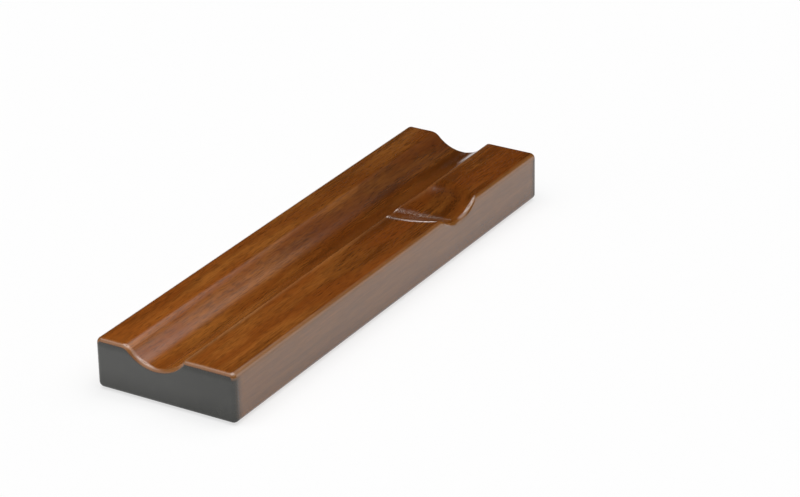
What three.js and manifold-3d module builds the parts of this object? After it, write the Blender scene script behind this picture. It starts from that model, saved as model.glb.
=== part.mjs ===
// Wooden pen holder, in millimetres, +Z up.
//
// A low lacquered block lies along X. A cove runs the whole length of its top, for what is laid in it lengthways.
// A second cove crosses the front rail, for what is laid across the block.
// The block stands on four rubber pads that are let into its underside.
//
// The origin is on the table, under the middle of the block. The front rail, the one with the notch, is at -Y.
// The block is a loft: cross-sections in Y and Z, one behind the other along X.

import * as THREE from 'three';
import { mergeVertices } from 'three/addons/utils/BufferGeometryUtils.js';
import Module from 'manifold-3d';

// Block
const LENGTH = 184;
const WIDTH = 50.2;
const HEIGHT = 16.8;
const EDGE_ROUND = 1.9;
const END_ROUND = 1.7;

// Long groove: a cove with a soft lip at the back and a crisp lip at the front
const GROOVE_CENTRE_Y = 3.3;
const GROOVE_DEPTH = 5.2;
const GROOVE_RADIUS = 12.5;
const BACK_LIP_ROUND = 4.6;
const FRONT_LIP_ROUND = 1.1;

// Cross notch over the front rail: a cove whose floor radius and lip are measured at the front face
const NOTCH_CENTRE_X = 40.1;
const NOTCH_DEPTH = 3.8;
const NOTCH_RADIUS = 14;
const NOTCH_LIP_ROUND = 4;

// Towards the groove the notch grows wider and softer. In plan its lips bend on the flare radius.
const NOTCH_FLARE_RADIUS = 26;
const NOTCH_INNER_LIP_ROUND = 7;

// The round-over from the notch's floor down into the groove
const NOTCH_GROOVE_ROUND = 3;

// Rubber pads and the pockets that hold them
const PAD_DIAMETER = 10;
const PAD_THICKNESS = 1.2;
const PAD_EDGE_ROUND = 0.35;
const PAD_PROUD = 0.5;
const PAD_INSET_X = 14;
const PAD_INSET_Y = 9.5;
const POCKET_SIDE_CLEARANCE = 0.3;
const GLUE_LINE = 0.3;

// The smallest radius that a rounded edge shrinks to where the end rounding takes it in
const LEAST_ROUND = 0.2;

// Facets
const CORNER_STEPS = 5;
const BACK_LIP_STEPS = 6;
const COVE_STEPS = 16;
const FRONT_LIP_STEPS = 4;
const RAIL_STEPS = 8;
const END_STEPS = 6;
const NOTCH_STATIONS = 34;
const PAD_SIDES = 40;
const PAD_EDGE_STEPS = 3;

const QUARTER_TURN = Math.PI / 2;

const blockBottom = PAD_PROUD;
const blockTop = blockBottom + HEIGHT;

// Across a cove, from its middle to the point where its lip has turned level with the surface it is cut into
function coveHalfWidth(depth, coveRadius, lipRound) {
    const reach = coveRadius + lipRound;
    return Math.sqrt(2 * reach * depth - depth * depth);
}

// The angle that the wall of a cove has reached where it changes over to the lip
function coveWallAngle(depth, coveRadius, lipRound) {
    return Math.acos(1 - depth / (coveRadius + lipRound));
}

// How far a cove lies below the surface, at a distance across from its middle
function coveDrop(across, depth, coveRadius, lipRound) {
    const distance = Math.abs(across);
    const halfWidth = coveHalfWidth(depth, coveRadius, lipRound);
    if (distance >= halfWidth) {
        return 0;
    }
    const wallAngle = coveWallAngle(depth, coveRadius, lipRound);
    if (distance <= coveRadius * Math.sin(wallAngle)) {
        return depth - coveRadius + Math.sqrt(coveRadius ** 2 - distance ** 2);
    }
    return lipRound - Math.sqrt(lipRound ** 2 - (halfWidth - distance) ** 2);
}

const frontLipY = GROOVE_CENTRE_Y - coveHalfWidth(GROOVE_DEPTH, GROOVE_RADIUS, FRONT_LIP_ROUND);
const notchHalfWidth = coveHalfWidth(NOTCH_DEPTH, NOTCH_RADIUS, NOTCH_LIP_ROUND);

// How far the notch's lips, in plan, have bent inwards at y, from where they stand square to the groove
function notchBend(y) {
    const fromGroove = Math.max(0, frontLipY - y);
    return NOTCH_FLARE_RADIUS - Math.sqrt(NOTCH_FLARE_RADIUS ** 2 - fromGroove ** 2);
}

// Half the notch's width at y: the notch's own at the front face, and at its most at the groove
function notchReach(y) {
    return notchHalfWidth + notchBend(-WIDTH / 2) - notchBend(y);
}

// The radius of the notch's lips at y
function notchLipRound(y) {
    const share = Math.min(1, (y + WIDTH / 2) / (frontLipY + WIDTH / 2));
    return NOTCH_LIP_ROUND + (NOTCH_INNER_LIP_ROUND - NOTCH_LIP_ROUND) * share;
}

// How far the notch lies below the rail's top: the floor's radius follows from the width, the depth and the lip
function notchDrop(x, y) {
    const reach = notchReach(y);
    const lipRound = notchLipRound(y);
    const floorRadius = (reach ** 2 + NOTCH_DEPTH ** 2) / (2 * NOTCH_DEPTH) - lipRound;
    return coveDrop(x - NOTCH_CENTRE_X, NOTCH_DEPTH, floorRadius, lipRound);
}

// The height of the front rail's top, with the notch cut into it
function railTop(x, y) {
    return blockTop - notchDrop(x, y);
}

// The radius of the groove's front lip at x, softer where the notch has cut the rail down
function frontLipRound(x) {
    const share = notchDrop(x, frontLipY) / NOTCH_DEPTH;
    return FRONT_LIP_ROUND + (NOTCH_GROOVE_ROUND - FRONT_LIP_ROUND) * share;
}

// Points in Y and Z on an arc, where angle 0 points to +Y and a quarter turn to +Z
function arc(centreY, centreZ, radius, startAngle, endAngle, steps) {
    const points = [];
    for (let step = 0; step <= steps; step++) {
        const angle = startAngle + ((endAngle - startAngle) * step) / steps;
        points.push([centreY + radius * Math.cos(angle), centreZ + radius * Math.sin(angle)]);
    }
    return points;
}

// The block's cross-section, with every side taken in by inset for the rounded ends.
// xAt gives x for each y, so that the sections in the notch can bend with its lips.
function crossSection(xAt, inset) {
    const side = WIDTH / 2 - inset;
    const bottom = blockBottom + inset;
    const corner = Math.max(EDGE_ROUND - inset, LEAST_ROUND);
    const cornerY = side - corner;

    const cove = GROOVE_RADIUS + inset;
    const coveCentreZ = blockTop - GROOVE_DEPTH + GROOVE_RADIUS;
    const backLip = Math.max(BACK_LIP_ROUND - inset, LEAST_ROUND);
    const frontLip = Math.max(frontLipRound(xAt(frontLipY)) - inset, LEAST_ROUND);

    const backTop = blockTop - inset;
    const backWallAngle = coveWallAngle(GROOVE_DEPTH, cove, backLip);
    const backLipY = GROOVE_CENTRE_Y + coveHalfWidth(GROOVE_DEPTH, cove, backLip);

    const innerTop = railTop(xAt(frontLipY), frontLipY) - inset;
    const innerDepth = innerTop - (coveCentreZ - cove);
    const frontWallAngle = coveWallAngle(innerDepth, cove, frontLip);
    const railStartY = GROOVE_CENTRE_Y - coveHalfWidth(innerDepth, cove, frontLip);

    const rail = [];
    for (let step = 1; step < RAIL_STEPS; step++) {
        const y = railStartY + ((-cornerY - railStartY) * step) / RAIL_STEPS;
        rail.push([y, railTop(xAt(y), y) - inset]);
    }
    const outerTop = railTop(xAt(-cornerY), -cornerY) - inset;

    const outline = [
        ...arc(cornerY, bottom + corner, corner, -QUARTER_TURN, 0, CORNER_STEPS),
        ...arc(cornerY, backTop - corner, corner, 0, QUARTER_TURN, CORNER_STEPS),
        ...arc(backLipY, backTop - backLip, backLip, QUARTER_TURN, QUARTER_TURN + backWallAngle, BACK_LIP_STEPS),
        ...arc(GROOVE_CENTRE_Y, coveCentreZ, cove, backWallAngle - QUARTER_TURN, -QUARTER_TURN - frontWallAngle,
            COVE_STEPS).slice(1),
        ...arc(railStartY, innerTop - frontLip, frontLip, QUARTER_TURN - frontWallAngle, QUARTER_TURN,
            FRONT_LIP_STEPS).slice(1),
        ...rail,
        ...arc(-cornerY, outerTop - corner, corner, QUARTER_TURN, 2 * QUARTER_TURN, CORNER_STEPS),
        ...arc(-cornerY, bottom + corner, corner, 2 * QUARTER_TURN, 3 * QUARTER_TURN, CORNER_STEPS),
    ];
    return outline.map(([y, z]) => [xAt(y), y, z]);
}

// A rounded end, from its flat face (0) to where the block has its full size (1)
function endSection(endX, towardsMiddle, share) {
    const angle = QUARTER_TURN * share;
    const x = endX + towardsMiddle * END_ROUND * (1 - Math.cos(angle));
    return crossSection(() => x, END_ROUND * (1 - Math.sin(angle)));
}

// A section in the notch, from its near edge (-1) to its far edge (1)
function notchSection(share) {
    return crossSection((y) => NOTCH_CENTRE_X + share * notchReach(y), 0);
}

// All the cross-sections, in the order in which they stand along X
function blockSections() {
    const sections = [];
    for (let step = 0; step <= END_STEPS; step++) {
        sections.push(endSection(-LENGTH / 2, 1, step / END_STEPS));
    }
    for (let step = 0; step <= NOTCH_STATIONS; step++) {
        sections.push(notchSection((2 * step) / NOTCH_STATIONS - 1));
    }
    for (let step = END_STEPS; step >= 0; step--) {
        sections.push(endSection(LENGTH / 2, -1, step / END_STEPS));
    }
    return sections;
}

// A closed skin through sections that all have the same number of points, with flat ends
function loft(sections) {
    const count = sections[0].length;
    const indices = [];
    for (let row = 0; row + 1 < sections.length; row++) {
        for (let point = 0; point < count; point++) {
            const next = (point + 1) % count;
            const near = row * count;
            const far = near + count;
            indices.push(near + point, far + next, far + point);
            indices.push(near + point, near + next, far + next);
        }
    }
    const endFace = (row, facesBack) => {
        const outline = sections[row].map(([, y, z]) => new THREE.Vector2(y, z));
        for (const [a, b, c] of THREE.ShapeUtils.triangulateShape(outline, [])) {
            const corners = facesBack ? [a, c, b] : [a, b, c];
            indices.push(...corners.map((corner) => row * count + corner));
        }
    };
    endFace(0, true);
    endFace(sections.length - 1, false);

    const geometry = new THREE.BufferGeometry();
    geometry.setAttribute('position', new THREE.Float32BufferAttribute(sections.flat(2), 3));
    geometry.setIndex(indices);
    return geometry;
}

// Middles of the four pads, by name
function padPlaces() {
    const x = LENGTH / 2 - PAD_INSET_X;
    const y = WIDTH / 2 - PAD_INSET_Y;
    return [
        { name: 'foot_pad_front_left', x: -x, y: -y },
        { name: 'foot_pad_front_right', x, y: -y },
        { name: 'foot_pad_back_left', x: -x, y },
        { name: 'foot_pad_back_right', x, y },
    ];
}

// A pad as a turned disc, standing on the table, with its lower edge rounded
function padGeometry() {
    const radius = PAD_DIAMETER / 2;
    const profile = [new THREE.Vector2(0, 0)];
    for (let step = 0; step <= PAD_EDGE_STEPS; step++) {
        const angle = (QUARTER_TURN * step) / PAD_EDGE_STEPS;
        const r = radius - PAD_EDGE_ROUND * (1 - Math.sin(angle));
        profile.push(new THREE.Vector2(r, PAD_EDGE_ROUND * (1 - Math.cos(angle))));
    }
    profile.push(new THREE.Vector2(radius, PAD_THICKNESS));
    profile.push(new THREE.Vector2(0, PAD_THICKNESS));
    const disc = new THREE.LatheGeometry(profile, PAD_SIDES);
    return disc.rotateX(QUARTER_TURN);
}

// The space that is drilled out for a pad, from below the block up to the pad's glue line
function pocketGeometry({ x, y }) {
    const top = PAD_THICKNESS + GLUE_LINE;
    const bottom = blockBottom - HEIGHT;
    const radius = PAD_DIAMETER / 2 + POCKET_SIDE_CLEARANCE;
    const drill = new THREE.CylinderGeometry(radius, radius, top - bottom, PAD_SIDES);
    return drill.rotateX(QUARTER_TURN).translate(x, y, (top + bottom) / 2);
}

const wasm = await Module();
wasm.setup();

function toSolid(geometry) {
    const bare = geometry.clone();
    bare.deleteAttribute('normal');
    bare.deleteAttribute('uv');
    const merged = mergeVertices(bare);
    return new wasm.Manifold(new wasm.Mesh({
        numProp: 3,
        vertProperties: new Float32Array(merged.attributes.position.array),
        triVerts: new Uint32Array(merged.index.array),
    }));
}

function toGeometry(solid) {
    const mesh = solid.getMesh();
    const geometry = new THREE.BufferGeometry();
    geometry.setAttribute('position', new THREE.Float32BufferAttribute(mesh.vertProperties, 3));
    geometry.setIndex(Array.from(mesh.triVerts));
    geometry.computeVertexNormals();
    return geometry;
}

function blockGeometry() {
    let block = toSolid(loft(blockSections()));
    for (const place of padPlaces()) {
        block = block.subtract(toSolid(pocketGeometry(place)));
    }
    return toGeometry(block);
}

const lacqueredWood = new THREE.MeshStandardMaterial({ color: 0x6f3c17, roughness: 0.35, metalness: 0 });
const rubber = new THREE.MeshStandardMaterial({ color: 0x1b1a19, roughness: 0.8, metalness: 0 });

function namedMesh(name, geometry, material) {
    const mesh = new THREE.Mesh(geometry, material);
    mesh.name = name;
    return mesh;
}

const penRest = new THREE.Group();
penRest.name = 'pen_rest';
penRest.add(namedMesh('wooden_block', blockGeometry(), lacqueredWood));

for (const { name, x, y } of padPlaces()) {
    const pad = namedMesh(name, padGeometry(), rubber);
    pad.position.set(x, y, 0);
    penRest.add(pad);
}

export default penRest;
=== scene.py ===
# %% [markdown]
# A wooden pen holder, dressed for its picture
#
# The part comes packed as plain solids: one wooden block and four rubber pads. This script builds the
# visible model round them, in metres and in the same frame. It makes the camera, the table and the light
# first, then the block, then the pads, and last the finishes: stained and lacquered wood, dark end grain,
# and rubber.

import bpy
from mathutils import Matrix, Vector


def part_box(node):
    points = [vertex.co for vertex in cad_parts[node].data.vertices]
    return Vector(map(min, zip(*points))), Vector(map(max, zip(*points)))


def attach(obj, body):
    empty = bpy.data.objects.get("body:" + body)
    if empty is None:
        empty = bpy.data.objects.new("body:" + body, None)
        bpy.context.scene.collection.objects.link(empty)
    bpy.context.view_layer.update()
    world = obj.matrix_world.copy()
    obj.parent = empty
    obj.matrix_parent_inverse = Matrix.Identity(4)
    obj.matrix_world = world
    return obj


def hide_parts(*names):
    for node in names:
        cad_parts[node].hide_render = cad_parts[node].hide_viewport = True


MM = 0.001


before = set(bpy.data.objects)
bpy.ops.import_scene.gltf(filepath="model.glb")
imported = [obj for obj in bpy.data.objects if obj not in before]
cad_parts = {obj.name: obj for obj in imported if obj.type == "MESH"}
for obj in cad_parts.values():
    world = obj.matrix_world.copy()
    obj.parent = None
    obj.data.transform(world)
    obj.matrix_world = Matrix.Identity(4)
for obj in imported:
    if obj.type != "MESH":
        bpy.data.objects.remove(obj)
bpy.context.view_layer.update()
print("nodes:", sorted(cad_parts))

# %% [markdown]
# Hands off first
#
# An operator of Blender acts on all that is selected, as a tool cuts whatever lies under it. The solids
# are still selected when they have just been loaded. So everything is let go before each new object is
# added.

# %% Letting go
import math

import bmesh
import bpy
from mathutils import Vector


def let_go():
    """Deselect every object."""
    bpy.ops.object.select_all(action="DESELECT")


let_go()
print("selected:", len(bpy.context.selected_objects), "objects")

# %% [markdown]
# The camera
#
# The photograph was taken with a long lens from the front left, about a metre away and looking down at
# about 25 degrees. A long lens keeps the long edges nearly parallel. The place, the turn in degrees and
# the lens below come from matching the block's edges to the edges in the photograph, so they are numbers
# to copy and not to tune by eye.

# %% Camera
CAMERA_PLACE = (-0.7550, -0.4870, 0.4424)
CAMERA_TURN = (64.476, 0.950, -59.075)
CAMERA_LENS = 140.45
CAMERA_NEAREST = 0.01

let_go()
bpy.ops.object.camera_add(location=CAMERA_PLACE, rotation=[math.radians(angle) for angle in CAMERA_TURN])
camera = bpy.context.object
camera.name = "camera"
camera.data.lens = CAMERA_LENS
camera.data.clip_start = CAMERA_NEAREST
bpy.context.scene.camera = camera
bpy.context.scene.view_settings.view_transform = "Standard"
print("camera", round(camera.location.length, 3), "m from the origin")

# %% [markdown]
# The table
#
# The block stands on a bright white table that runs out of the picture on every side. A backdrop that
# curves up would do for a tall object. For a low one that is seen from above, one large plane is enough.

# %% Table
TABLE_SIZE = 12.0


def name_piece(name):
    """Name the object that an operator has just added, and its mesh."""
    piece = bpy.context.object
    piece.name = name
    piece.data.name = name
    return piece


let_go()
bpy.ops.mesh.primitive_plane_add(size=TABLE_SIZE)
floor = name_piece("floor")
print("table:", TABLE_SIZE, "m square")

# %% [markdown]
# Helpers for node trees
#
# Materials and the world are wired from nodes. Each node needs its settings, its plain values and its
# wires, and one helper gives it all three in one call. A second does arithmetic with a Math node, a third
# starts a material with an empty tree, and a fourth puts a material on its pieces.


# %% Node helpers
def add_node(tree, kind, inputs=None, **settings):
    """Add a node. Its inputs, by name or number, are plain values or outputs of other nodes."""
    node = tree.nodes.new(kind)
    for name, value in settings.items():
        setattr(node, name, value)
    for name, value in (inputs or {}).items():
        if isinstance(value, bpy.types.NodeSocket):
            tree.links.new(value, node.inputs[name])
        else:
            node.inputs[name].default_value = value
    return node


def calculate(tree, operation, first, second=0.0):
    """The result of a Math node."""
    return add_node(tree, "ShaderNodeMath", {0: first, 1: second}, operation=operation).outputs["Value"]


def new_material(name):
    """A material and its node tree, which is still empty."""
    material = bpy.data.materials.new(name)
    material.use_nodes = True
    material.node_tree.nodes.clear()
    return material, material.node_tree


def put_on(material, pieces):
    """Give each piece the material, in place of any other."""
    for piece in pieces:
        piece.data.materials.clear()
        piece.data.materials.append(material)


print("made: add_node, calculate, new_material and put_on")

# %% [markdown]
# The white of the table
#
# In the photograph the table is so bright that only a narrow shadow is left beside the block. Brighter
# lamps would give that, but they would wash out the wood too. So the camera sees a greyer paint that also
# glows, and no shadow falls on a glow. The lacquer mirrors a mix of that and plain white paint, and the
# light that the table throws back on to the wood is that of the plain paint alone.

# %% White of the table
TABLE_PAINT = (0.9, 0.9, 0.9, 1)
SEEN_PAINT = (0.30, 0.30, 0.30, 1)
SEEN_GLOW = 0.682
SHARE_IN_LACQUER = 0.4

table_paint, table = new_material("floor_white")
plain = add_node(table, "ShaderNodeBsdfDiffuse", {"Color": TABLE_PAINT})
seen = add_node(table, "ShaderNodeBsdfDiffuse", {"Color": SEEN_PAINT})
glow = add_node(table, "ShaderNodeEmission", {"Strength": SEEN_GLOW})
glowing = add_node(table, "ShaderNodeAddShader", {0: seen.outputs["BSDF"], 1: glow.outputs["Emission"]})
ray = add_node(table, "ShaderNodeLightPath")
in_lacquer = calculate(table, "MULTIPLY", ray.outputs["Is Glossy Ray"], SHARE_IN_LACQUER)
glow_share = calculate(table, "MAXIMUM", ray.outputs["Is Camera Ray"], in_lacquer)
either = add_node(table, "ShaderNodeMixShader",
                  {0: glow_share, 1: plain.outputs["BSDF"], 2: glowing.outputs["Shader"]})
add_node(table, "ShaderNodeOutputMaterial", {"Surface": either.outputs["Shader"]})
put_on(table_paint, [floor])
print("white of the table:", len(table.nodes), "nodes")

# %% [markdown]
# The studio
#
# Lacquer shows the room in it, so the room matters as much as the lamps. Lamp objects could stand round
# the block, but each would show in the lacquer as a shape with a hard border. So the world itself is the
# studio here, written as brightness by direction. Two angles describe a direction: how high it points
# above the horizon, and how far it is turned away from a given azimuth, seen from above. Azimuth 0 points
# along +X and 90 along +Y. Every light fades in or out between two values of such an angle.

# %% Directions in the studio
world = bpy.data.worlds.new("studio")
bpy.context.scene.world = world
world.use_nodes = True
studio = world.node_tree
studio.nodes.clear()
direction = add_node(studio, "ShaderNodeTexCoord").outputs["Generated"]


def split_up(tree, vector):
    """The three outputs X, Y and Z of a vector."""
    return add_node(tree, "ShaderNodeSeparateXYZ", {"Vector": vector}).outputs


def ease(tree, value, between, levels=(0.0, 1.0)):
    """Ease from the first level to the second while the value goes from one limit to the other."""
    inputs = {"Value": value, "From Min": between[0], "From Max": between[1],
              "To Min": levels[0], "To Max": levels[1]}
    return add_node(tree, "ShaderNodeMapRange", inputs, interpolation_type="SMOOTHSTEP").outputs["Result"]


def fade(angle, degrees, levels):
    """Ease between two levels while an angle goes from one number of degrees to another."""
    return ease(studio, angle, [math.radians(limit) for limit in degrees], levels)


def turned_from(azimuth):
    """The angle between a direction and an azimuth, both seen from above."""
    inputs = {"Vector": direction, "Angle": -math.radians(azimuth)}
    turned = add_node(studio, "ShaderNodeVectorRotate", inputs, rotation_type="Z_AXIS")
    seen_above = split_up(studio, turned.outputs["Vector"])
    angle = calculate(studio, "ARCTAN2", seen_above["Y"], seen_above["X"])
    return calculate(studio, "ABSOLUTE", angle)


upwards = calculate(studio, "ARCSINE", split_up(studio, direction)["Z"])
print("directions:", len(studio.nodes), "nodes")

# %% [markdown]
# Light overhead
#
# In the photograph the flat top mirrors a dark gap and keeps its full red-brown, while the back wall of
# the groove mirrors the lower edge of a broad light overhead. So a dome of light hangs high up, with a
# weaker rim below it, and under the rim lies the dark gap. The rim hangs lower on the right, and there is
# none beyond the block, as the camera sees it. The dome is dim in its middle, so that the upright sides
# get their share of the light beside the top.

# %% Light overhead
DOME_STRENGTH = 5.05
DOME_EDGE = (59.5, 71)
DOME_MIDDLE = (78, 86)
MIDDLE_SHARE = 0.08
RIM_STRENGTH = 1.65
RIM_EDGE = (40.4, 46.5)
RIM_LOWERED = 8.2
LOWERED_TOWARDS = -45
LOWERED_SIDE = (10, 35)
NO_RIM_TOWARDS = 58
NO_RIM_SIDE = (30, 50)

lowered = fade(turned_from(LOWERED_TOWARDS), LOWERED_SIDE, (math.radians(RIM_LOWERED), 0))
rim = fade(calculate(studio, "ADD", upwards, lowered), RIM_EDGE, (0, RIM_STRENGTH))
rim = calculate(studio, "MULTIPLY", rim, fade(turned_from(NO_RIM_TOWARDS), NO_RIM_SIDE, (0, 1)))
dome = calculate(studio, "ADD", rim, fade(upwards, DOME_EDGE, (0, DOME_STRENGTH - RIM_STRENGTH)))
overhead = calculate(studio, "MULTIPLY", dome, fade(upwards, DOME_MIDDLE, (1, MIDDLE_SHARE)))
print("light overhead:", len(studio.nodes), "nodes")

# %% [markdown]
# Low lights
#
# Three patches of light stand low in the studio, each towards its own azimuth. The front edge of the
# block mirrors a pale strip on the right. A dim fill on the left is there for the near end. A narrow lamp
# beyond the block, close above the horizon, draws the line of light on the lip of the notch.

# %% Low lights
STRIP = {"strength": 1.5, "azimuth": 318, "side": (9, 15), "top": (5, 39)}
FILL = {"strength": 0.8, "azimuth": 150, "side": (15, 40), "top": (34, 44)}
LAMP = {"strength": 5.0, "azimuth": 31.4, "side": (0.8, 1.9), "top": (8, 17)}
LAMP_BOTTOM = (-4, 1)


def low_light(strength, azimuth, side, top):
    """A patch of light that fades out to both sides and at its top."""
    patch = fade(turned_from(azimuth), side, (strength, 0))
    return calculate(studio, "MULTIPLY", patch, fade(upwards, top, (1, 0)))


lamp = calculate(studio, "MULTIPLY", low_light(**LAMP), fade(upwards, LAMP_BOTTOM, (0, 1)))
brightness = overhead
for light in (low_light(**STRIP), low_light(**FILL), lamp):
    brightness = calculate(studio, "ADD", brightness, light)
print("low lights:", len(studio.nodes), "nodes")

# %% [markdown]
# The studio as the camera sees it
#
# Behind the table the picture is plain white, while the block stands in the light of the studio. The
# world can be both, because a ray knows whether it comes from the camera.

# %% Background
lit = add_node(studio, "ShaderNodeBackground", {"Strength": brightness})
white = add_node(studio, "ShaderNodeBackground", {"Color": (1, 1, 1, 1), "Strength": 1.0})
from_camera = add_node(studio, "ShaderNodeLightPath").outputs["Is Camera Ray"]
either = add_node(studio, "ShaderNodeMixShader",
                  {0: from_camera, 1: lit.outputs["Background"], 2: white.outputs["Background"]})
add_node(studio, "ShaderNodeOutputWorld", {"Surface": either.outputs["Shader"]})
print("studio:", len(studio.nodes), "nodes")

# %% [markdown]
# The block's measures
#
# The real block is planed square, a round-nosed cutter is run along its top, a drum crosses the front
# rail, and every edge is sanded round by hand. The back lip of the long groove is soft and the front lip
# is crisp. These are the measures of the solids too, apart from the inner lip of the notch: it is twice
# as soft here, because the photograph shows a broad light on it. Two arcs make each cove, one for its
# floor and one for its lip, and three short functions work out where these meet and how deep a cove lies
# at any distance from its middle.

# %% Measures of the block
LENGTH = 184 * MM
WIDTH = 50.2 * MM
BOTTOM = 0.5 * MM
TOP = 17.3 * MM
EDGE_ROUND = 1.9 * MM
END_ROUND = 1.7 * MM
LEAST_ROUND = 0.2 * MM

GROOVE_MIDDLE = 3.3 * MM
GROOVE_DEPTH = 5.2 * MM
GROOVE_RADIUS = 12.5 * MM
BACK_LIP = 4.6 * MM
FRONT_LIP = 1.1 * MM


def cove_half_width(depth, radius, lip):
    """From the middle of a cove to where its lip has turned level."""
    reach = radius + lip
    return math.sqrt(2 * reach * depth - depth * depth)


def cove_wall_angle(depth, radius, lip):
    """The angle at which the wall of a cove turns over into its lip."""
    return math.acos(1 - depth / (radius + lip))


def cove_drop(across, depth, radius, lip):
    """How far a cove lies below the surface, at a distance from its middle."""
    distance = abs(across)
    half_width = cove_half_width(depth, radius, lip)
    if distance >= half_width:
        return 0.0
    if distance <= radius * math.sin(cove_wall_angle(depth, radius, lip)):
        return depth - radius + math.sqrt(radius ** 2 - distance ** 2)
    return lip - math.sqrt(lip ** 2 - (half_width - distance) ** 2)


FRONT_LIP_Y = GROOVE_MIDDLE - cove_half_width(GROOVE_DEPTH, GROOVE_RADIUS, FRONT_LIP)
print("front lip of the groove at y", round(FRONT_LIP_Y / MM, 2), "mm")

# %% [markdown]
# The notch across the front rail
#
# A drum cuts the notch as a second cove, across the rail. Hand sanding then spreads it: towards the
# groove its mouth grows wider along an arc, and its lips grow softer. One cylinder as a cutter would miss
# both. So its reach to each side and its depth are worked out here for every place on the rail, and the
# mesh is laid on them.

# %% Notch
NOTCH_MIDDLE = 40.1 * MM
NOTCH_DEPTH = 3.8 * MM
NOTCH_RADIUS = 14 * MM
NOTCH_LIP = 4 * MM
NOTCH_INNER_LIP = 14 * MM
NOTCH_FLARE = 26 * MM


def notch_bend(y):
    """How far the notch's lips have bent inwards, in plan, from where they meet the groove."""
    from_groove = max(0.0, FRONT_LIP_Y - y)
    return NOTCH_FLARE - math.sqrt(NOTCH_FLARE ** 2 - from_groove ** 2)


def notch_reach(y):
    """Half of the notch's width at y."""
    at_face = cove_half_width(NOTCH_DEPTH, NOTCH_RADIUS, NOTCH_LIP)
    return at_face + notch_bend(-WIDTH / 2) - notch_bend(y)


def notch_drop(x, y):
    """How far the notch lies below the rail's top."""
    reach = notch_reach(y)
    share = min(1.0, (y + WIDTH / 2) / (FRONT_LIP_Y + WIDTH / 2))
    lip = NOTCH_LIP + (NOTCH_INNER_LIP - NOTCH_LIP) * share
    floor_radius = (reach ** 2 + NOTCH_DEPTH ** 2) / (2 * NOTCH_DEPTH) - lip
    return cove_drop(x - NOTCH_MIDDLE, NOTCH_DEPTH, floor_radius, lip)


for y in (-WIDTH / 2, FRONT_LIP_Y):
    print("notch", round(2 * notch_reach(y) / MM, 1), "mm wide at y", round(y / MM, 1))

# %% [markdown]
# The front lip of the groove
#
# Along most of the block the front lip is a crisp little arc. Where the notch has cut the rail down, the
# lip lies lower and the sanding has made it rounder, so that groove and notch meet in one smooth corner.
# Its radius therefore grows with the depth of the notch. An inset takes the whole shape in, which the
# rounded ends need.

# %% Front lip
NOTCH_TO_GROOVE = 3 * MM
COVE_MIDDLE_HEIGHT = TOP - GROOVE_DEPTH + GROOVE_RADIUS


def front_lip(x_at, inset):
    """The lip's radius, its top, the angle of the wall below it and the y where the rail starts."""
    drop = notch_drop(x_at(FRONT_LIP_Y), FRONT_LIP_Y)
    notch_share = drop / NOTCH_DEPTH
    radius = max(FRONT_LIP + (NOTCH_TO_GROOVE - FRONT_LIP) * notch_share - inset, LEAST_ROUND)
    top = TOP - drop - inset
    cove = GROOVE_RADIUS + inset
    depth = top - (COVE_MIDDLE_HEIGHT - cove)
    rail_start = GROOVE_MIDDLE - cove_half_width(depth, cove, radius)
    return radius, top, cove_wall_angle(depth, cove, radius), rail_start


for name, x in (("plain rail", 0.0), ("notch", NOTCH_MIDDLE)):
    print("front lip at the", name + ":", round(front_lip(lambda y, x=x: x, 0.0)[0] / MM, 2), "mm round")

# %% [markdown]
# One cross-section of the block
#
# A cross-section is a closed loop of points in Y and Z: the four rounded corners, and between the upper
# two the back lip, the cove, the front lip and the rail. All but the rail are arcs. The numbers of steps
# below are fine enough for the lacquer, which shows every facet.

# %% Cross-section
QUARTER_TURN = math.pi / 2
CORNER_STEPS = 9
BACK_LIP_STEPS = 14
COVE_STEPS = 52
FRONT_LIP_STEPS = 12
RAIL_STEPS = 28


def arc(middle_y, middle_z, radius, start, end, steps):
    """Points in Y and Z on an arc, where angle 0 points to +Y and a quarter turn to +Z."""
    angles = [start + (end - start) * step / steps for step in range(steps + 1)]
    return [(middle_y + radius * math.cos(angle), middle_z + radius * math.sin(angle)) for angle in angles]


def cross_section(x_at, inset):
    """One loop of points. x_at gives x for each y, so that a section can bend with the notch."""
    corner = max(EDGE_ROUND - inset, LEAST_ROUND)
    low = BOTTOM + inset + corner
    flank = WIDTH / 2 - inset - corner
    cove = GROOVE_RADIUS + inset
    back_lip = max(BACK_LIP - inset, LEAST_ROUND)
    back_angle = cove_wall_angle(GROOVE_DEPTH, cove, back_lip)
    back_lip_y = GROOVE_MIDDLE + cove_half_width(GROOVE_DEPTH, cove, back_lip)
    lip, lip_top, front_angle, rail_start = front_lip(x_at, inset)
    rail_y = [rail_start + (-flank - rail_start) * step / RAIL_STEPS for step in range(1, RAIL_STEPS)]
    outer_top = TOP - notch_drop(x_at(-flank), -flank) - inset

    points = arc(flank, low, corner, -QUARTER_TURN, 0, CORNER_STEPS)
    points += arc(flank, TOP - inset - corner, corner, 0, QUARTER_TURN, CORNER_STEPS)
    points += arc(back_lip_y, TOP - inset - back_lip, back_lip, QUARTER_TURN, QUARTER_TURN + back_angle,
                  BACK_LIP_STEPS)
    points += arc(GROOVE_MIDDLE, COVE_MIDDLE_HEIGHT, cove, back_angle - QUARTER_TURN,
                  -QUARTER_TURN - front_angle, COVE_STEPS)[1:]
    points += arc(rail_start, lip_top - lip, lip, QUARTER_TURN - front_angle, QUARTER_TURN,
                  FRONT_LIP_STEPS)[1:]
    points += [(y, TOP - notch_drop(x_at(y), y) - inset) for y in rail_y]
    points += arc(-flank, outer_top - corner, corner, QUARTER_TURN, 2 * QUARTER_TURN, CORNER_STEPS)
    points += arc(-flank, low, corner, 2 * QUARTER_TURN, 3 * QUARTER_TURN, CORNER_STEPS)
    return [Vector((x_at(y), y, z)) for y, z in points]


print(len(cross_section(lambda y: 0.0, 0.0)), "points in a cross-section")

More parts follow.
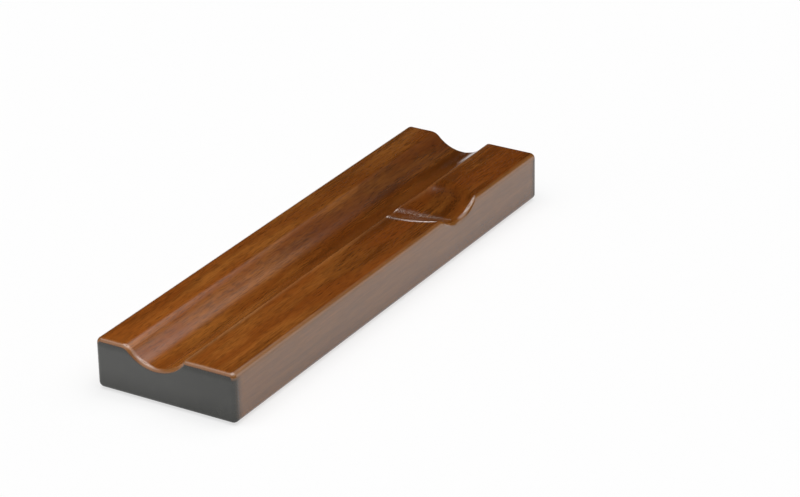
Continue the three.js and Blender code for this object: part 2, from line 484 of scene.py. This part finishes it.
# %% [markdown]
# All the cross-sections in a row
#
# Like the ribs of a boat, the sections stand one behind the other. From end to end there is a quarter
# turn of sections that grow to the full size, which makes the rounded end, then a few plain ones, then
# those in the notch, and a quarter turn back. In the notch each section bends with the lips, so that no
# edge of the mesh crosses a lip at a slant, where the lacquer's reflection would show it as a row of
# teeth.

# %% Ribs
END_STEPS = 12
NOTCH_STEPS = 110
PLAIN_RIBS = (-75 * MM, -50 * MM, -25 * MM, 0.0)


def end_rib(side, share):
    """A section in the rounded end at -1 or +1, from its flat face (0) to the full size (1)."""
    angle = QUARTER_TURN * share
    x = side * (LENGTH / 2 - END_ROUND * (1 - math.cos(angle)))
    return cross_section(lambda y: x, END_ROUND * (1 - math.sin(angle)))


def notch_rib(share):
    """A section in the notch, from its near edge (-1) to its far edge (1)."""
    return cross_section(lambda y: NOTCH_MIDDLE + share * notch_reach(y), 0.0)


ribs = [end_rib(-1, step / END_STEPS) for step in range(END_STEPS + 1)]
ribs += [cross_section(lambda y, x=x: x, 0.0) for x in PLAIN_RIBS]
ribs += [notch_rib(2 * step / NOTCH_STEPS - 1) for step in range(NOTCH_STEPS + 1)]
ribs += [end_rib(1, step / END_STEPS) for step in range(END_STEPS, -1, -1)]
print(len(ribs), "ribs")

# %% [markdown]
# The block, extruded rib by rib
#
# A Boolean with two cutters would also give a groove and a notch, but a Bevel can't round their lips by
# radii that change along the edge. So the block is drawn out over its ribs: a circle primitive is laid on
# the first rib, then extruded, laid on the next rib, and so on to the other end. Each vertex carries the
# number of its point in the section, and an extruded vertex keeps the number of the one it came from.

# %% Block skin
let_go()
bpy.ops.mesh.primitive_circle_add(vertices=len(ribs[0]), radius=WIDTH / 2)
block = name_piece("block_lacquered")
point_number = block.data.attributes.new("section_point", "INT", "POINT")
point_number.data.foreach_set("value", range(len(ribs[0])))


def lay_on(rib):
    """Move the selected loop of the block's vertices on to a rib."""
    skin = bmesh.from_edit_mesh(block.data)
    numbers = skin.verts.layers.int["section_point"]
    for vertex in skin.verts:
        if vertex.select:
            vertex.co = rib[vertex[numbers]]
    bmesh.update_edit_mesh(block.data)


bpy.ops.object.mode_set(mode="EDIT")
bpy.ops.mesh.select_all(action="SELECT")
lay_on(ribs[0])
for rib in ribs[1:]:
    bpy.ops.mesh.extrude_edges_move()
    lay_on(rib)
print("block skin:", len(ribs), "loops of", len(ribs[0]), "vertices")

# %% [markdown]
# Closing the ends
#
# The extruded skin is a tube that is open at both ends. The last loop is still selected, so it is filled
# first. The only open edges left are those of the first loop, and they are found as such and filled too.
# Last, all the faces are turned to point outwards.

# %% Ends of the block
bpy.ops.mesh.edge_face_add()
bpy.ops.mesh.select_all(action="DESELECT")
bpy.ops.mesh.select_non_manifold()
bpy.ops.mesh.edge_face_add()
bpy.ops.mesh.select_all(action="SELECT")
bpy.ops.mesh.normals_make_consistent(inside=False)
bpy.ops.object.mode_set(mode="OBJECT")
print("closed block:", len(block.data.vertices), "vertices,", len(block.data.polygons), "faces")

# %% [markdown]
# Where hands and cloths rub
#
# Stain and lacquer wear thin first where sandpaper, hands and dust cloths reach: on the corners, on the
# crisp front lip of the groove and on the rounded ends. Such wear could be painted by hand, but a mask
# that comes from the shape itself is sure to sit on the edges. Each vertex gets a number from 0 on a flat
# to 1 on an edge, kept in the mesh as an attribute for the material, which paints both the wear and a
# highlight with it. The wear fades out over a short stretch of rail beside the front lip, and the soft
# back lip has little of it.

# %% Edges that wear
RUBBED_FLAT = 1.4 * MM
BACK_LIP_WEAR = 0.3


def over_arc(steps):
    """0 at both ends of an arc and 1 in its middle."""
    return [math.sin(math.pi * step / steps) for step in range(steps + 1)]


rail_width = FRONT_LIP_Y + WIDTH / 2 - EDGE_ROUND
beside_lip = [math.exp(-rail_width * step / RAIL_STEPS / RUBBED_FLAT) for step in range(1, RAIL_STEPS)]
on_front_lip = [math.sin(QUARTER_TURN * step / FRONT_LIP_STEPS) for step in range(1, FRONT_LIP_STEPS + 1)]
on_back_lip = [BACK_LIP_WEAR * share for share in over_arc(BACK_LIP_STEPS)]
two_corners = over_arc(CORNER_STEPS) * 2
section_edges = two_corners + on_back_lip + [0.0] * COVE_STEPS + on_front_lip + beside_lip + two_corners

edges = []
for vertex, point in zip(block.data.vertices, block.data.attributes["section_point"].data):
    from_end = LENGTH / 2 - abs(vertex.co.x)
    on_end = math.sin(2 * math.acos(min(1.0, max(0.0, 1 - from_end / END_ROUND))))
    edges.append(max(section_edges[point.value], on_end))
block.data.attributes.new("edge", "FLOAT", "POINT").data.foreach_set("value", edges)
print("edge mask:", len(edges), "vertices, mean", round(sum(edges) / len(edges), 2))

# %% [markdown]
# The pockets underneath
#
# Each pad sits in a shallow round pocket that a flat-bottomed drill has cut. A drill is a cylinder, and a
# Boolean is the right tool for a plain hole with a sharp rim. Its place and size come from the pad that
# it holds.

# %% Pockets
PAD_NODES = ("foot_pad_front_left", "foot_pad_front_right", "foot_pad_back_left", "foot_pad_back_right")
SIDE_CLEARANCE = 0.3 * MM
GLUE_LINE = 0.3 * MM
DRILL_SIDES = 96
DRILL_BELOW = 4 * MM


def take(piece):
    """Make one object the selected and active one."""
    let_go()
    piece.select_set(True)
    bpy.context.view_layer.objects.active = piece


def drill_pocket(wood, pad_node):
    """Cut the pocket for one pad out of the wood."""
    low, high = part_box(pad_node)
    pad_radius = (high[0] - low[0]) / 2
    pocket_top = high[2] + GLUE_LINE
    let_go()
    bpy.ops.mesh.primitive_cylinder_add(
        vertices=DRILL_SIDES, radius=pad_radius + SIDE_CLEARANCE, depth=pocket_top + DRILL_BELOW,
        location=((low[0] + high[0]) / 2, (low[1] + high[1]) / 2, (pocket_top - DRILL_BELOW) / 2))
    drill = name_piece("drill")
    take(wood)
    cut = wood.modifiers.new("pocket", "BOOLEAN")
    cut.operation = "DIFFERENCE"
    cut.solver = "EXACT"
    cut.object = drill
    bpy.ops.object.modifier_apply(modifier=cut.name)
    bpy.data.objects.remove(drill)


for pad_node in PAD_NODES:
    drill_pocket(block, pad_node)
print("block with pockets:", len(block.data.vertices), "vertices,", len(block.data.polygons), "faces")

# %% [markdown]
# Smooth and flat
#
# The sanded arcs have to look round and the planed faces flat. Smooth shading by angle rounds the arcs
# and keeps the rims of the pockets sharp. Weighted normals then let each large flat face keep its own
# direction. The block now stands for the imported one.

# %% Shading of the block
SHARP_ANGLE = math.radians(32)

take(block)
bpy.ops.object.shade_smooth_by_angle(angle=SHARP_ANGLE)
weighted = block.modifiers.new("flat faces stay flat", "WEIGHTED_NORMAL")
weighted.keep_sharp = True
bpy.ops.object.modifier_apply(modifier=weighted.name)
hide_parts("wooden_block")
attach(block, "root")
print("block ready:", [round(side / MM, 1) for side in block.dimensions], "mm")

# %% [markdown]
# The rubber pads
#
# A pad is a small moulded disc. Its lower edge is well rounded, and its upper one a little. A lathe
# profile would give that too, but a cylinder with two bevels is quicker, and the edges to bevel can be
# picked out by their height.

# %% One pad
PAD_SIDES = 72
PAD_EDGE_ROUND = 0.35 * MM
PAD_EDGE_SEGMENTS = 5
PAD_TOP_ROUND = 0.12 * MM
PAD_TOP_SEGMENTS = 3
NEAR_BOTTOM = 0.25
NEAR_TOP = 0.99


def select_where(piece, kind, wanted):
    """In edit mode, select only the edges or the faces for which wanted is true."""
    bpy.ops.mesh.select_all(action="DESELECT")
    bpy.ops.mesh.select_mode(type={"edges": "EDGE", "faces": "FACE"}[kind])
    mesh = bmesh.from_edit_mesh(piece.data)
    for element in getattr(mesh, kind):
        if wanted(element):
            element.select_set(True)
    mesh.select_flush_mode()
    bmesh.update_edit_mesh(piece.data)


def heights(edge):
    """How high the two ends of an edge lie."""
    return [vertex.co.z for vertex in edge.verts]


pad_low, pad_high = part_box(PAD_NODES[0])
pad_radius = (pad_high[0] - pad_low[0]) / 2
pad_height = pad_high[2] - pad_low[2]
let_go()
bpy.ops.mesh.primitive_cylinder_add(vertices=PAD_SIDES, radius=pad_radius, depth=pad_height,
                                    location=(0, 0, pad_height / 2))
first_pad = name_piece("pad_moulded")
bpy.ops.object.transform_apply(location=True, rotation=True, scale=True)
bpy.ops.object.mode_set(mode="EDIT")
select_where(first_pad, "edges", lambda edge: max(heights(edge)) < pad_height * NEAR_BOTTOM)
bpy.ops.mesh.bevel(offset=PAD_EDGE_ROUND, segments=PAD_EDGE_SEGMENTS, affect="EDGES")
select_where(first_pad, "edges", lambda edge: min(heights(edge)) > pad_height * NEAR_TOP)
bpy.ops.mesh.bevel(offset=PAD_TOP_ROUND, segments=PAD_TOP_SEGMENTS, affect="EDGES")
print("pad:", round(2 * pad_radius / MM, 2), "mm across,", round(pad_height / MM, 2), "mm thick")

# %% [markdown]
# The dimple in a pad
#
# The mould was filled from below, which leaves a shallow dimple in the middle of the foot. The lowest
# face is inset as far as the dimple's rim, and then inset and raised three times more, by less each time,
# so that the wall curves in to a flat middle.

# %% Dimple
DIMPLE_RADIUS = 1.3 * MM
DIMPLE_DEPTH = 0.18 * MM
RING_WIDTHS = (0.12, 0.35, 0.4)
RING_RISES = (0.5, 0.35, 0.15)
DOWNWARDS = -0.99

select_where(first_pad, "faces", lambda face: face.normal.z < DOWNWARDS and len(face.verts) == PAD_SIDES)
bpy.ops.mesh.inset(thickness=pad_radius - PAD_EDGE_ROUND - DIMPLE_RADIUS)
for ring_width, rise in zip(RING_WIDTHS, RING_RISES):
    bpy.ops.mesh.inset(thickness=ring_width * DIMPLE_RADIUS)
    bpy.ops.transform.translate(value=(0, 0, rise * DIMPLE_DEPTH))
bpy.ops.object.mode_set(mode="OBJECT")
bpy.ops.object.shade_smooth_by_angle(angle=SHARP_ANGLE)
print("pad with its dimple:", len(first_pad.data.polygons), "faces")

# %% [markdown]
# Four pads in their pockets
#
# The pads are alike, as pads from one mould are, so copies of the first one go to three of the places,
# and the pad itself goes to the fourth. Each has its own mesh, and its place is applied to that mesh.

# %% Four pads
pads = []
for number, pad_node in enumerate(PAD_NODES, start=1):
    low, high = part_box(pad_node)
    take(first_pad)
    if number < len(PAD_NODES):
        bpy.ops.object.duplicate()
    pad = name_piece("rubber_" + pad_node)
    bpy.ops.transform.translate(value=((low[0] + high[0]) / 2, (low[1] + high[1]) / 2, low[2]))
    bpy.ops.object.transform_apply(location=True, rotation=True, scale=True)
    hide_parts(pad_node)
    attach(pad, "root")
    pads.append(pad)
print([pad.name for pad in pads])

# %% [markdown]
# Wood grain as a node group
#
# The wood is a reddish, fine-pored hardwood under a brown stain. Seen close, it has four layers: slow
# drifts of colour, faint growth layers, fine fibres along the block, and short dark pores. A picture of
# wood that is wrapped round the block would show a seam at every edge. So the grain is made of noise that
# fills space, stretched along X by different amounts, and the pores turn into dots on the ends by
# themselves, as they do on a sawn end. It all goes into one node group, whose inputs are the colours of
# the stain.

# %% Grain group
def new_group(name, inputs, outputs):
    """A shader node group with named sockets. Returns it with its input and output nodes."""
    group = bpy.data.node_groups.new(name, "ShaderNodeTree")
    for title, kind in inputs.items():
        group.interface.new_socket(title, in_out="INPUT", socket_type="NodeSocket" + kind)
    for title, kind in outputs.items():
        group.interface.new_socket(title, in_out="OUTPUT", socket_type="NodeSocket" + kind)
    return group, group.nodes.new("NodeGroupInput"), group.nodes.new("NodeGroupOutput")


grain, grain_in, grain_out = new_group(
    "wood grain",
    {"Vector": "Vector", "Light": "Color", "Dark": "Color", "Red": "Color", "Pore Strength": "Float"},
    {"Color": "Color", "Pores": "Float", "Fibre": "Float"})
place = grain_in.outputs["Vector"]
print("grain group:", len(grain_in.outputs) - 1, "inputs")

# %% [markdown]
# Drifts and growth layers
#
# The slow drift reddens whole stretches of the block, and cloudy patches, about 30 mm long and 5 mm wide,
# make it lighter and darker. The growth layers are rings round the heart of the tree, which lies below
# the block and in front of it, and the trunk was not quite parallel to the saw. A Wave texture in its
# ring form draws them, bent out of true by its own distortion.

# %% Drifts and growth layers
DRIFT = {"per_metre": (27, 150, 150), "detail": 3, "rough": 0.5, "shift": (3.1, 0.4, 1.7)}
PATCHES = {"per_metre": (32, 200, 200), "detail": 3, "rough": 0.55, "shift": (0.3, 5.2, 2.2)}
HEART_PLACE = (0, 55 * MM, 160 * MM)
HEART_TURN = (0.0, 2.5, -2.0)
RINGS = {"Scale": 14.0, "Distortion": 5.0, "Detail": 3.0, "Detail Scale": 0.35, "Detail Roughness": 0.55}


def stretched_noise(tree, place, per_metre, detail, rough, shift=(0, 0, 0)):
    """Noise with a number of cells per metre along X, Y and Z, shifted off the other noises."""
    mapping = add_node(tree, "ShaderNodeMapping", {"Vector": place, "Scale": per_metre, "Location": shift})
    inputs = {"Vector": mapping.outputs["Vector"], "Scale": 1.0, "Detail": detail, "Roughness": rough}
    return add_node(tree, "ShaderNodeTexNoise", inputs).outputs["Fac"]


drift = stretched_noise(grain, place, **DRIFT)
patches = stretched_noise(grain, place, **PATCHES)
heart = add_node(grain, "ShaderNodeMapping",
                 {"Vector": place, "Location": HEART_PLACE,
                  "Rotation": [math.radians(angle) for angle in HEART_TURN]})
rings = add_node(grain, "ShaderNodeTexWave", {"Vector": heart.outputs["Vector"], **RINGS},
                 wave_type="RINGS", rings_direction="X", wave_profile="SIN")
print("drifts and growth layers:", len(grain.nodes), "nodes")

# %% [markdown]
# Fibres and pores
#
# Fibres are long and thin, so their noise has few cells along the block and hundreds across it, and a
# finer one lies between them as hairs. The pores are the peaks of a still finer noise: short dark lines
# along the faces. They stand denser in some places than in others, so a slow noise raises and lowers the
# peaks before only the highest are kept.

# %% Fibres and pores
FIBRES = {"per_metre": (16, 430, 430), "detail": 5, "rough": 0.62}
HAIRS = {"per_metre": (150, 2300, 2300), "detail": 3, "rough": 0.6, "shift": (7.7, 0.1, 0.9)}
HAIR_SHARE = 0.5
FINE_PORES = {"per_metre": (260, 3200, 3200), "detail": 1, "rough": 0.5, "shift": (0.2, 6.1, 3.4)}
CROWDS = {"per_metre": (24, 160, 160), "detail": 2, "rough": 0.5, "shift": (1.3, 2.8, 0.2)}
CROWD_WEIGHT = 0.22
PORE_PEAKS = (0.58, 0.80)


def weighted_sum(tree, *pairs):
    """The sum of values, each times its weight."""
    shares = [calculate(tree, "MULTIPLY", value, weight) for value, weight in pairs]
    total = shares[0]
    for share in shares[1:]:
        total = calculate(tree, "ADD", total, share)
    return total


fibre = weighted_sum(grain, (stretched_noise(grain, place, **FIBRES), 1 - HAIR_SHARE),
                     (stretched_noise(grain, place, **HAIRS), HAIR_SHARE))
peaks = weighted_sum(grain, (stretched_noise(grain, place, **FINE_PORES), 1.0),
                     (stretched_noise(grain, place, **CROWDS), CROWD_WEIGHT))
pores = ease(grain, peaks, PORE_PEAKS)
print("fibres and pores:", len(grain.nodes), "nodes")

# %% [markdown]
# The colours of the grain
#
# Stain sinks in deeper where the wood is soft, and darkens it there. So one tone, the sum of patches,
# rings and fibres, goes from the dark colour to the light one. The red of the heartwood shows through
# where the drift is high, and the pores are filled nearly black. The pores and the fibre leave the group
# as masks too, because the lacquer and the sides need them. A Mix node has sockets for numbers, vectors
# and colours under the same names, so those for colours go by their number.

# %% Colours of the grain
PATCH_WEIGHT = 0.5
RING_WEIGHT = 0.16
FIBRE_WEIGHT = 0.55
TONE_RANGE = (0.42, 0.80)
RED_RANGE = (0.40, 0.62)
MOST_RED = 0.7
PORE_FILL = (0.012, 0.005, 0.002, 1)
FIRST_COLOUR = 6
SECOND_COLOUR = 7
MIXED_COLOUR = 2


def blend(tree, share, first, second):
    """The colour at a share of the way from the first to the second."""
    inputs = {0: share, FIRST_COLOUR: first, SECOND_COLOUR: second}
    return add_node(tree, "ShaderNodeMix", inputs, data_type="RGBA").outputs[MIXED_COLOUR]


tone = weighted_sum(grain, (patches, PATCH_WEIGHT), (rings.outputs["Fac"], RING_WEIGHT),
                    (fibre, FIBRE_WEIGHT))
colour = blend(grain, ease(grain, tone, TONE_RANGE), grain_in.outputs["Dark"], grain_in.outputs["Light"])
colour = blend(grain, ease(grain, drift, RED_RANGE, (0, MOST_RED)), colour, grain_in.outputs["Red"])
pore_share = calculate(grain, "MULTIPLY", pores, grain_in.outputs["Pore Strength"])
colour = blend(grain, pore_share, colour, PORE_FILL)
for name, output in (("Color", colour), ("Pores", pores), ("Fibre", fibre)):
    grain.links.new(output, grain_out.inputs[name])
print("grain group:", len(grain.nodes), "nodes")

# %% [markdown]
# The lacquered wood
#
# Stain lies in the wood and lacquer on it, and the Principled shader has both: a base colour below and a
# clear coat on top. The next cells build up the base colour, one finish after the other, and then the
# coat. The long faces get the grain in the colours of the stain. Light is painted into it as well: the
# wood is painted lighter towards the near end and darker towards the far one, at the back more than at
# the front. Lower down, as in the groove, it is painted a little darker as shade.

# %% Stained wood
STAIN = {"Light": (0.320, 0.107, 0.0185, 1), "Dark": (0.108, 0.028, 0.0035, 1),
         "Red": (0.200, 0.050, 0.0065, 1), "Pore Strength": 0.36}
FRONT_PAINTED_LIGHT = (1.21, 0.99)
FRONT_DARKENS = (-LENGTH / 2, LENGTH / 2)
BACK_PAINTED_LIGHT = (1.36, 0.76)
BACK_DARKENS = (-LENGTH / 2, 0.3 * LENGTH)
FRONT_TO_BACK = (-0.5 * WIDTH, 0.4 * WIDTH)
HOLLOW_SHADE_HEIGHTS = (TOP - 4.5 * MM, TOP - 0.6 * MM)
HOLLOW_SHADE_LIGHTNESS = (0.87, 1.0)


def shade(tree, colour, lightness):
    """A colour made lighter or darker by a factor."""
    inputs = {0: colour, "Scale": lightness}
    return add_node(tree, "ShaderNodeVectorMath", inputs, operation="SCALE").outputs["Vector"]


wood_paint, wood = new_material("stained_and_lacquered_wood")
spot = add_node(wood, "ShaderNodeTexCoord").outputs["Object"]
along, across, up = split_up(wood, spot)
grained = add_node(wood, "ShaderNodeGroup", {"Vector": spot, **STAIN}, node_tree=grain).outputs

# Painted light: lighter towards the near end, and more so at the back.
painted_light_front = ease(wood, along, FRONT_DARKENS, FRONT_PAINTED_LIGHT)
painted_light_back = ease(wood, along, BACK_DARKENS, BACK_PAINTED_LIGHT)
painted_light_back_change = calculate(wood, "MULTIPLY", calculate(wood, "SUBTRACT", painted_light_back, painted_light_front),
                        ease(wood, across, FRONT_TO_BACK))
lightness = calculate(wood, "ADD", painted_light_front, painted_light_back_change)
# Painted shade: a little darker below the level of the rails, as in the groove.
lightness = calculate(wood, "MULTIPLY", lightness, ease(wood, up, HOLLOW_SHADE_HEIGHTS, HOLLOW_SHADE_LIGHTNESS))
top_colour = shade(wood, grained["Color"], lightness)
print("stained wood:", len(wood.nodes), "nodes")

# %% [markdown]
# The long sides
#
# The long sides were cut across the growth layers. They are quieter than the top and took the stain
# browner. Towards the table they are painted darker, as shade. A second grain would be hard to match at
# the edge. So the sides get one brown of their own, streaked by the same fibres, which covers most of the
# grain and blends into it round the upper edge.

# %% Long sides
SIDE_BROWN = (0.185, 0.070, 0.008)
SIDE_STARTS = (WIDTH / 2 - 1.6 * MM, WIDTH / 2 - 0.3 * MM)
SIDE_SHARE = 0.75
SIDE_PAINTED_SHADE = (0.72, 1.2)
SIDE_STREAKS = (0.84, 1.16)
FIBRE_RANGE = (0.3, 0.7)

sideways = calculate(wood, "ABSOLUTE", across)
# The fibres streak the sides, and painted shade darkens them towards the table.
side_streaks_and_shade = calculate(wood, "MULTIPLY", ease(wood, grained["Fibre"], FIBRE_RANGE, SIDE_STREAKS),
                       ease(wood, up, (BOTTOM, TOP), SIDE_PAINTED_SHADE))
side_share = ease(wood, sideways, SIDE_STARTS, (0, SIDE_SHARE))
long_faces = blend(wood, side_share, top_colour, shade(wood, SIDE_BROWN, side_streaks_and_shade))
print("long sides:", len(wood.nodes), "nodes")

# %% [markdown]
# Rubbed edges and a painted highlight
#
# Rubbed edges let the paler wood through. The mask in the mesh says where the edges are, and a noise
# breaks it up into uneven patches, because nobody rubs an edge evenly. The pale edges are also a painted
# highlight, so they are palest at the near end and weaker from the middle of the block on.

# %% Rubbed edges and painted highlight
PALE_WOOD = (0.35, 0.17, 0.07, 1)
RUBS = {"per_metre": (90, 260, 260), "detail": 3, "rough": 0.6, "shift": (2.2, 0.7, 4.1)}
EDGE_WEIGHT = 0.8
RUB_WEIGHT = 0.5
WEAR_RANGE = (0.5, 1.1)
MOST_WEAR_AND_HIGHLIGHT = 0.55
NEAR_TO_MIDDLE = (-LENGTH / 2, 0)
MIDDLE_WEAR_AND_HIGHLIGHT = 0.35

edge = add_node(wood, "ShaderNodeAttribute", attribute_name="edge").outputs["Fac"]
rubbed_and_lit = weighted_sum(wood, (edge, EDGE_WEIGHT), (stretched_noise(wood, spot, **RUBS), RUB_WEIGHT))
# Wear and a painted highlight together, palest at the near end.
wear_and_highlight = calculate(wood, "MULTIPLY", ease(wood, rubbed_and_lit, WEAR_RANGE, (0, MOST_WEAR_AND_HIGHLIGHT)),
                 ease(wood, along, NEAR_TO_MIDDLE, (1, MIDDLE_WEAR_AND_HIGHLIGHT)))
long_faces = blend(wood, wear_and_highlight, long_faces, PALE_WOOD)
print("rubbed edges:", len(wood.nodes), "nodes")

# %% [markdown]
# The dark ends
#
# The sawn ends drink far more stain than the faces, so they turn nearly black, with only a trace of the
# fibres. The dark reaches a little further round the lower edge, and round the upright corners it is
# painted shade. So the dark has two masks: one goes by the distance from the middle of the block and
# starts earlier near the table, and one is for the corners.

# %% Dark ends
END_BLACK = (0.022, 0.022, 0.017)
END_STREAKS = (0.6, 1.4)
END_STARTS = (LENGTH / 2 - 0.24 * MM, LENGTH / 2 - 0.03 * MM)
LOW_REACH_HEIGHTS = (1.2 * MM, 3.5 * MM)
LOW_REACH = 1.8 * MM
CORNER_LENGTHS = (LENGTH / 2 - 4.6 * MM, LENGTH / 2 - 0.3 * MM)
CORNER_WIDTHS = (WIDTH / 2 - 3.2 * MM, WIDTH / 2 - 1.5 * MM)
CORNER_HEIGHTS = (TOP - 2.6 * MM, TOP - 1.0 * MM)

outwards = calculate(wood, "ABSOLUTE", along)
end_reach = calculate(wood, "ADD", outwards, ease(wood, up, LOW_REACH_HEIGHTS, (LOW_REACH, 0)))
# Painted shade: the dark of the ends is carried round the upright corners.
corner = calculate(wood, "MULTIPLY", ease(wood, sideways, CORNER_WIDTHS),
                   ease(wood, outwards, CORNER_LENGTHS))
corner = calculate(wood, "MULTIPLY", corner, ease(wood, up, CORNER_HEIGHTS, (1, 0)))
end_share = calculate(wood, "MAXIMUM", ease(wood, end_reach, END_STARTS), corner)
end_colour = shade(wood, END_BLACK, ease(wood, grained["Fibre"], FIBRE_RANGE, END_STREAKS))
base_colour = blend(wood, end_share, long_faces, end_colour)
print("dark ends:", len(wood.nodes), "nodes")

# %% [markdown]
# How much lacquer there is
#
# The film covers the long faces evenly. The sawn ends drink it, so it is thinner there, and thinnest near
# the table, near the top and towards the front corner, where the photograph shows less gloss. Near the
# table and towards the front, that thinner film is painted shade in the reflection, for the shade on the
# table that the lacquer mirrors there. The weight of the coat says how much of it there is.

# %% Thickness of the lacquer
LOW_FILM_AS_SHADE = ((1.5 * MM, 9 * MM), (0.84, 1.0))
TOP_FILM = ((TOP - 3.4 * MM, TOP - 1.8 * MM), (1.0, 0.78))
FRONT_FILM_AS_SHADE = ((-0.5 * WIDTH, 0.35 * WIDTH), (0.84, 1.0))

# Painted shade in the reflection: less coat near the table and towards the front.
end_film = calculate(wood, "MULTIPLY", ease(wood, up, *LOW_FILM_AS_SHADE), ease(wood, up, *TOP_FILM))
end_film = calculate(wood, "MULTIPLY", end_film, ease(wood, across, *FRONT_FILM_AS_SHADE))
thinning_and_shade = calculate(wood, "MULTIPLY", calculate(wood, "SUBTRACT", 1.0, end_film), end_share)
coat_weight = calculate(wood, "SUBTRACT", 1.0, thinning_and_shade)
print("thickness of the lacquer:", len(wood.nodes), "nodes")

# %% [markdown]
# The skin of the lacquer
#
# A brushed or sprayed film dries with a faint orange peel and dips a little over each pore. That is too
# fine for the mesh, so it is a bump, under the coat and on it alike. The coat's own roughness gives the
# satin gloss. The wood under it has no shine of its own, because the coat has it all, and it is a little
# rougher where the fibres are pale.

# %% Skin of the lacquer
PEEL = {"per_metre": (420, 520, 520), "detail": 2, "rough": 0.5}
PEEL_HEIGHT = 0.6
PORE_DEPTH = 0.5
FILM_BUMP = {"Strength": 0.12, "Distance": 0.1 * MM}
WOOD_ROUGHNESS = (0.42, 0.55)
LACQUER = {"Specular IOR Level": 0.0, "IOR": 1.5, "Coat IOR": 1.8, "Coat Roughness": 0.14}

film = weighted_sum(wood, (stretched_noise(wood, spot, **PEEL), PEEL_HEIGHT),
                    (grained["Pores"], -PORE_DEPTH))
film_normal = add_node(wood, "ShaderNodeBump", {"Height": film, **FILM_BUMP}).outputs["Normal"]
roughness = ease(wood, grained["Fibre"], FIBRE_RANGE, WOOD_ROUGHNESS)
lacquered = add_node(wood, "ShaderNodeBsdfPrincipled",
                     {"Base Color": base_colour, "Roughness": roughness, "Coat Weight": coat_weight,
                      "Normal": film_normal, "Coat Normal": film_normal, **LACQUER})
add_node(wood, "ShaderNodeOutputMaterial", {"Surface": lacquered.outputs["BSDF"]})
put_on(wood_paint, [block])
print("wood material:", len(wood.nodes), "nodes")

# %% [markdown]
# The rubber
#
# Moulded rubber is nearly black and matt, with a fine tooth from the mould and a little grey dust in it.
# A single black would look like a hole under the block. So a noise spreads the dust, which is paler and
# rougher than the clean rubber, and a much finer one is the tooth, as a bump.

# %% Rubber material
TOOTH = {"per_metre": (9000, 9000, 9000), "detail": 2, "rough": 0.5}
TOOTH_BUMP = {"Strength": 0.3, "Distance": 0.05 * MM}
DUST = {"per_metre": (700, 700, 700), "detail": 4, "rough": 0.6}
DUST_RANGE = (0.45, 0.8)
CLEAN_RUBBER = (0.012, 0.0115, 0.011, 1)
DUSTY_RUBBER = (0.05, 0.048, 0.045, 1)
ROUGHNESS_RANGE = (0.3, 0.7)
RUBBER_ROUGHNESS = (0.62, 0.85)
RUBBER_IOR = 1.5

rubber_matt, rubber = new_material("pad_rubber_matt")
spot = add_node(rubber, "ShaderNodeTexCoord").outputs["Object"]
dust = stretched_noise(rubber, spot, **DUST)
tooth = stretched_noise(rubber, spot, **TOOTH)
tooth_normal = add_node(rubber, "ShaderNodeBump", {"Height": tooth, **TOOTH_BUMP}).outputs["Normal"]
rubber_colour = blend(rubber, ease(rubber, dust, DUST_RANGE), CLEAN_RUBBER, DUSTY_RUBBER)
roughness = ease(rubber, dust, ROUGHNESS_RANGE, RUBBER_ROUGHNESS)
moulded = add_node(rubber, "ShaderNodeBsdfPrincipled",
                   {"Base Color": rubber_colour, "Roughness": roughness, "IOR": RUBBER_IOR,
                    "Normal": tooth_normal})
add_node(rubber, "ShaderNodeOutputMaterial", {"Surface": moulded.outputs["BSDF"]})
put_on(rubber_matt, pads)
print("rubber material:", len(rubber.nodes), "nodes")

# %% [markdown]
# The end of the script
#
# At the end, everything is let go.

# %% End of the script
let_go()
